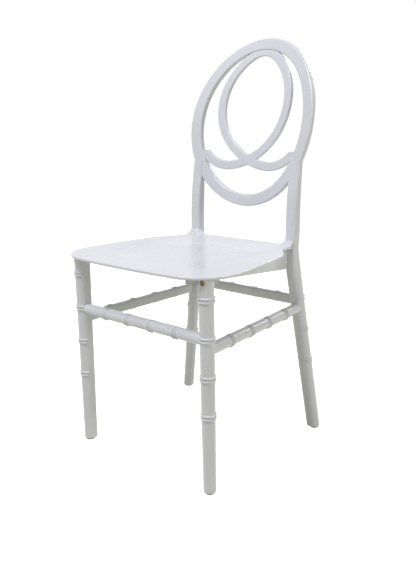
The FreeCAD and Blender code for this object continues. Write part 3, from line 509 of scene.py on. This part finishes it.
def rod_frame(start, along, outward):
    """The place of a rod that runs along Z from the origin, its outer side towards X."""
    ahead = along.cross(outward).normalized()
    across = ahead.cross(along)
    return Matrix.Translation(start * MM) @ Matrix((across, ahead, along)).transposed().to_4x4()


def make_rings(count, first, pitch, radius, taper, sweep, place):
    """A rod's bamboo rings, their open side away from the rod's outer side."""
    tree = bpy.data.node_groups.get("bamboo_rings") or ring_tree()
    base = linked("rings_base", bpy.data.meshes.new("rings_base"))
    grow = base.modifiers.new("rings", "NODES")
    grow.node_group = tree
    sizes = {"Count": count, "First": (first - RING_SPACING / 2) * MM, "Pitch": pitch * MM,
             "Spacing": RING_SPACING * MM, "Ridge": RING_RIDGE * MM, "Foot Radius": radius * MM,
             "Taper": taper, "Sweep": math.radians(sweep),
             "Material": bpy.data.materials["moulded_white"]}
    for socket in tree.interface.items_tree:
        if socket.in_out == "INPUT":
            grow[socket.identifier] = sizes[socket.name]
    mesh = baked(base, "rings")
    bpy.data.objects.remove(base)
    mesh.transform(place)
    bm = bmesh.new()
    bm.from_mesh(mesh)
    bmesh.ops.remove_doubles(bm, verts=bm.verts, dist=MERGE_DISTANCE)
    bmesh.ops.recalc_face_normals(bm, faces=bm.faces)
    bm.to_mesh(mesh)
    bm.free()
    return linked("rings", mesh)


# Front legs and stretchers

def bolt_recess():
    """The round pocket in the left front leg that the bolt's head sits in."""
    places = [vert.co / MM for vert in frame["nodes"]["front_bolt_left"].data.vertices]
    low = Vector((min(place.x for place in places), 0.0, min(place.z for place in places)))
    high = Vector((max(place.x for place in places), 0.0, max(place.z for place in places)))
    middle = (low + high) / 2
    radius = (high.x - low.x) / 2 + RECESS_GAP
    front = FRONT_TOP.y - FRONT_TOP_RADIUS
    rows = [[middle + Vector((rim(angle)[0] * radius, y, rim(angle)[1] * radius))
             for angle in range(0, 360, RECESS_TURN)]
            for y in (front - RECESS_DEPTH, front + RECESS_DEPTH)]
    pocket = bmesh.new()
    skin(pocket, rows)
    return make_object("bolt_recess", pocket)


def make_front_leg():
    """The left front leg: a square corner towards the chair's middle, and a rounded foot."""
    rows = []
    for z in foot_heights() + heights_above(0.0, FRONT_TOP.z, LEG_STEPS):
        along = z / FRONT_TOP.z
        middle = FRONT_FOOT.lerp(FRONT_TOP, along)
        radius = FRONT_FOOT_RADIUS + (FRONT_TOP_RADIUS - FRONT_FOOT_RADIUS) * along - foot_inset(z)
        rows.append([Vector((middle.x + point.x, middle.y - point.y, z))
                     for point in leg_section(radius)])
    leg = bmesh.new()
    skin(leg, rows)
    run = FRONT_TOP - FRONT_FOOT
    rings = make_rings(FRONT_RING_COUNT, FRONT_RING_FIRST, FRONT_RING_PITCH, FRONT_FOOT_RADIUS,
                       (FRONT_TOP_RADIUS - FRONT_FOOT_RADIUS) / FRONT_TOP.z, RING_SWEEP,
                       rod_frame(FRONT_FOOT, run.normalized(), Vector((1, -1, 0))))
    shells = [make_object("front_leg", leg), rings]
    return welded("front_leg_left_moulding", shells, hollow=bolt_recess())


def bar_section():
    """Points round a stretcher: how far inwards and how far up."""
    points = [Vector(rim(angle)) * BAR_RADIUS for angle in range(90, 271, BAR_TURN)]
    for turn, side in ((-90, -1), (0, 1)):
        corner = Vector((BAR_INNER - BAR_CORNER, side * (BAR_RADIUS - BAR_CORNER)))
        points += [corner + Vector(rim(turn + 90 * step / BAR_CORNER_STEPS)) * BAR_CORNER
                   for step in range(BAR_CORNER_STEPS + 1)]
    return points


def make_stretcher(name, first, last, outward, pitch):
    """A bar between two points, with rings either side of its middle."""
    along = (last - first).normalized()
    inward = -rod_frame(Vector(), along, outward).col[0].to_3d()
    section = bar_section()
    rows = [[first.lerp(last, step / BAR_STEPS) + inward * shift + Vector((0, 0, rise))
             for shift, rise in section] for step in range(BAR_STEPS + 1)]
    bar = bmesh.new()
    skin(bar, rows)
    rings = make_rings(BAR_RING_COUNT, -(BAR_RING_COUNT - 1) / 2 * pitch, pitch, BAR_RADIUS, 0.0,
                       BAR_RING_SWEEP, rod_frame((first + last) / 2, along, outward))
    return welded(name, [make_object("bar", bar), rings])


def make_limbs():
    """The front legs and the stretchers, each with the node that it stands for."""
    front = FRONT_FOOT.lerp(FRONT_TOP, FRONT_BAR_Z / FRONT_TOP.z)
    rear = LEG_FOOT.lerp(LEG_TOP, REAR_BAR_Z / LEG_TOP.z)
    ahead = FRONT_FOOT.lerp(FRONT_TOP, SIDE_BAR_Z / FRONT_TOP.z)
    behind = LEG_FOOT.lerp(LEG_TOP, SIDE_BAR_Z / LEG_TOP.z)
    over = Matrix.Diagonal((-1, 1, 1))
    leg = make_front_leg()
    side = make_stretcher("side_stretcher_left_moulding", ahead, behind, Vector((1, 0, 0)),
                          SIDE_BAR_PITCH)
    return [
        (leg, "front_leg_left"), (turned_over(leg, "front_leg_right_moulding"), "front_leg_right"),
        (make_stretcher("front_stretcher_moulding", over @ front, front, Vector((0, -1, 0)),
                        FRONT_BAR_PITCH), "front_stretcher"),
        (make_stretcher("rear_stretcher_moulding", over @ rear, rear, Vector((0, 1, 0)),
                        REAR_BAR_PITCH), "rear_stretcher"),
        (side, "side_stretcher_left"),
        (turned_over(side, "side_stretcher_right_moulding"), "side_stretcher_right")]


# Seat

def evenly_shaded(piece):
    """The piece with the large facets leading the shading, so that narrow ones don't show."""
    smoothed(piece.data)
    shading = piece.modifiers.new("shading", "WEIGHTED_NORMAL")
    shading.mode = "FACE_AREA"
    shading.keep_sharp = True
    mesh = baked(piece, piece.name)
    piece.modifiers.remove(shading)
    piece.data = mesh
    return piece


def make_seat():
    """The seat with its facets merged, so that its skin shades as one smooth moulding."""
    bm = bmesh.new()
    bm.from_mesh(frame["nodes"]["seat_shell"].data)
    bmesh.ops.remove_doubles(bm, verts=bm.verts, dist=MERGE_DISTANCE)
    mesh = bpy.data.meshes.new("seat_moulding")
    bm.to_mesh(mesh)
    bm.free()
    return evenly_shaded(linked("seat_moulding", mesh))


# Finishes

def node_tree(name):
    """A new material: its tree, its shader and the place on the object."""
    material = bpy.data.materials.new(name)
    material.use_nodes = True
    tree = material.node_tree
    tree.nodes.clear()
    output = tree.nodes.new("ShaderNodeOutputMaterial")
    shader = tree.nodes.new("ShaderNodeBsdfPrincipled")
    tree.links.new(shader.outputs[0], output.inputs[0])
    place = tree.nodes.new("ShaderNodeTexCoord")
    return material, tree, shader, place.outputs["Object"]


def noise(tree, place, scale, detail):
    """An uneven value over the object."""
    node = tree.nodes.new("ShaderNodeTexNoise")
    node.inputs["Scale"].default_value = scale
    node.inputs["Detail"].default_value = detail
    tree.links.new(place, node.inputs["Vector"])
    return node.outputs["Fac"]


def spread(tree, value, low, high):
    """A noise value stretched to run between two others."""
    node = tree.nodes.new("ShaderNodeMapRange")
    node.inputs["From Min"].default_value = NOISE_LOW
    node.inputs["From Max"].default_value = NOISE_HIGH
    node.inputs["To Min"].default_value = low
    node.inputs["To Max"].default_value = high
    tree.links.new(value, node.inputs["Value"])
    return node.outputs["Result"]


def blend_colour(tree, value, first, second):
    """A colour between two, by a value."""
    node = tree.nodes.new("ShaderNodeMix")
    node.data_type = "RGBA"
    tree.links.new(value, node.inputs["Factor"])
    node.inputs[6].default_value = (*first, 1)
    node.inputs[7].default_value = (*second, 1)
    return node.outputs[2]


def bump(tree, shader, value, depth):
    """Fine relief, in metres."""
    node = tree.nodes.new("ShaderNodeBump")
    node.inputs["Strength"].default_value = 1.0
    node.inputs["Distance"].default_value = depth
    tree.links.new(value, node.inputs["Height"])
    tree.links.new(node.outputs["Normal"], shader.inputs["Normal"])


def white_plastic(name, light, dark):
    """Moulded gloss plastic: faint flow clouding, uneven gloss and a slight orange peel."""
    material, tree, shader, place = node_tree(name)
    cloud = spread(tree, noise(tree, place, scale=9.0, detail=3.0), 0.0, 1.0)
    gloss = spread(tree, noise(tree, place, scale=26.0, detail=4.0), 0.2, 0.3)
    tree.links.new(blend_colour(tree, cloud, light, dark), shader.inputs["Base Color"])
    tree.links.new(gloss, shader.inputs["Roughness"])
    shader.inputs["IOR"].default_value = 1.5
    shader.inputs["Subsurface Weight"].default_value = 0.0
    bump(tree, shader, noise(tree, place, scale=420.0, detail=2.0), depth=0.000015)
    return material


def metal(name, light, dark, roughness, grain):
    """Plated or turned metal with faint streaks."""
    material, tree, shader, place = node_tree(name)
    streak = spread(tree, noise(tree, place, grain, detail=5.0), 0.0, 1.0)
    wear = spread(tree, noise(tree, place, grain / 2, detail=3.0), roughness, roughness + 0.15)
    tree.links.new(blend_colour(tree, streak, light, dark), shader.inputs["Base Color"])
    shader.inputs["Metallic"].default_value = 1.0
    tree.links.new(wear, shader.inputs["Roughness"])
    bump(tree, shader, noise(tree, place, grain * 2, detail=2.0), depth=0.00002)
    return material


def rubbed_plastic(name, light, dark):
    """Dull plastic that a floor has scuffed."""
    material, tree, shader, place = node_tree(name)
    scuff = spread(tree, noise(tree, place, scale=180.0, detail=4.0), 0.0, 1.0)
    wear = spread(tree, noise(tree, place, scale=240.0, detail=3.0), 0.45, 0.65)
    tree.links.new(blend_colour(tree, scuff, light, dark), shader.inputs["Base Color"])
    tree.links.new(wear, shader.inputs["Roughness"])
    bump(tree, shader, noise(tree, place, scale=900.0, detail=3.0), depth=0.00005)
    return material


def paint(piece, material):
    piece.data.materials.clear()
    piece.data.materials.append(material)


# Studio

def lamp(name, place, aim, size, power, colour):
    """A rectangular lamp that faces a point; its power is in watts."""
    data = bpy.data.lights.new(name, "AREA")
    data.shape = "RECTANGLE"
    data.size, data.size_y = size
    data.energy = power
    data.color = colour
    light = linked(name, data)
    light.location = place
    light.rotation_euler = (Vector(aim) - Vector(place)).to_track_quat("-Z", "Y").to_euler()


def seen_directly(tree):
    """1 for a ray from the camera, off a mirror or through glass."""
    path = tree.nodes.new("ShaderNodeLightPath")
    value = path.outputs["Is Camera Ray"]
    for word in ("Is Glossy Ray", "Is Transmission Ray"):
        node = tree.nodes.new("ShaderNodeMath")
        node.operation = "MAXIMUM"
        tree.links.new(value, node.inputs[0])
        tree.links.new(path.outputs[word], node.inputs[1])
        value = node.outputs[0]
    return value


def make_floor():
    """A pale floor that takes the chair's shadow and shows white where nothing shades it."""
    bm = bmesh.new()
    bmesh.ops.create_grid(bm, x_segments=4, y_segments=4, size=FLOOR_HALF)
    mesh = bpy.data.meshes.new("studio_floor")
    bm.to_mesh(mesh)
    bm.free()
    floor = linked("studio_floor", mesh)
    material = bpy.data.materials.new("pale_floor")
    material.use_nodes = True
    tree = material.node_tree
    tree.nodes.clear()
    output = tree.nodes.new("ShaderNodeOutputMaterial")
    base = tree.nodes.new("ShaderNodeBsdfDiffuse")
    base.inputs["Color"].default_value = FLOOR_COLOUR
    glow = tree.nodes.new("ShaderNodeEmission")
    glow.inputs["Color"].default_value = WHITE
    both = tree.nodes.new("ShaderNodeAddShader")
    strength = tree.nodes.new("ShaderNodeMath")
    strength.operation = "MULTIPLY"
    strength.inputs[1].default_value = FLOOR_GLOW
    tree.links.new(seen_directly(tree), strength.inputs[0])
    tree.links.new(strength.outputs[0], glow.inputs["Strength"])
    tree.links.new(base.outputs[0], both.inputs[0])
    tree.links.new(glow.outputs[0], both.inputs[1])
    tree.links.new(both.outputs[0], output.inputs[0])
    mesh.materials.append(material)


def make_world():
    """A faint warm fill on the chair, and white behind it."""
    world = bpy.data.worlds.new("studio")
    bpy.context.scene.world = world
    world.use_nodes = True
    tree = world.node_tree
    tree.nodes.clear()
    output = tree.nodes.new("ShaderNodeOutputWorld")
    fill = tree.nodes.new("ShaderNodeBackground")
    fill.inputs["Color"].default_value = FILL_COLOUR
    fill.inputs["Strength"].default_value = FILL_STRENGTH
    white = tree.nodes.new("ShaderNodeBackground")
    white.inputs["Color"].default_value = WHITE
    white.inputs["Strength"].default_value = 1.0
    mix = tree.nodes.new("ShaderNodeMixShader")
    tree.links.new(seen_directly(tree), mix.inputs[0])
    tree.links.new(fill.outputs[0], mix.inputs[1])
    tree.links.new(white.outputs[0], mix.inputs[2])
    tree.links.new(mix.outputs[0], output.inputs[0])


def make_camera():
    """The camera of the reference view."""
    azimuth, pitch, roll = (math.radians(angle) for angle in CAMERA_ANGLES)
    back = Vector((math.sin(azimuth) * math.cos(pitch), -math.cos(azimuth) * math.cos(pitch),
                   math.sin(pitch)))
    right = Vector((math.cos(azimuth), math.sin(azimuth), 0.0))
    up = back.cross(right)
    turned = right * math.cos(roll) + up * math.sin(roll)
    up = up * math.cos(roll) - right * math.sin(roll)
    data = bpy.data.cameras.new("camera")
    data.sensor_width = CAMERA_SENSOR
    data.lens = CAMERA_LENS
    data.shift_y = CAMERA_SHIFT
    data.clip_start = CAMERA_NEAR
    camera = linked("camera", data)
    camera.matrix_world = Matrix((
        (turned.x, up.x, back.x, CAMERA_PLACE[0]),
        (turned.y, up.y, back.y, CAMERA_PLACE[1]),
        (turned.z, up.z, back.z, CAMERA_PLACE[2]),
        (0, 0, 0, 1)))
    bpy.context.scene.camera = camera


def main():
    make_camera()
    make_world()
    make_floor()
    lamp("key", place=(-0.2, -1.6, 3.1), aim=(0.0, 0.0, 0.4), size=(1.2, 1.2), power=61.0,
         colour=(0.93, 0.94, 1.0))
    lamp("side", place=(2.5, 0.6, 1.6), aim=(0.0, 0.0, 0.4), size=(0.8, 0.8), power=17.0,
         colour=(1.0, 1.0, 0.97))
    lamp("rear", place=(0.2, 3.0, 2.0), aim=(0.0, 0.0, 0.5), size=(1.0, 1.0), power=24.0,
         colour=(0.97, 0.98, 1.0))
    shell = white_plastic("moulded_white", (0.8, 0.805, 0.86), (0.76, 0.765, 0.82))
    finishes = {
        "white_plastic": shell,
        "glide": rubbed_plastic("glide_black", (0.05, 0.05, 0.05), (0.025, 0.025, 0.027)),
        # The yellow zinc colours are the plating's own gold-brown, darkened further as painted
        # shade for the bolt's head under the seat's rim.
        "yellow_zinc": metal("yellow_zinc", (0.30, 0.21, 0.10), (0.21, 0.14, 0.07),
                             roughness=0.28, grain=300.0),
        "brass": metal("turned_brass", (0.72, 0.55, 0.26), (0.6, 0.44, 0.2),
                       roughness=0.3, grain=400.0),
        "steel": metal("zinc_plate", (0.62, 0.63, 0.65), (0.5, 0.51, 0.53),
                       roughness=0.3, grain=350.0),
    }
    slots = {part["node"]: part["material_slot"] for part in frame["record"]["subparts"]}
    for node, thing in frame["nodes"].items():
        paint(thing, finishes[slots[node]])
    for piece, node in ((make_back(), "back_frame"), (make_seat(), "seat_shell"), *make_limbs()):
        paint(piece, shell)
        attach(piece, BODY)
        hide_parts(node)
    bpy.context.scene.view_settings.view_transform = "Standard"


main()
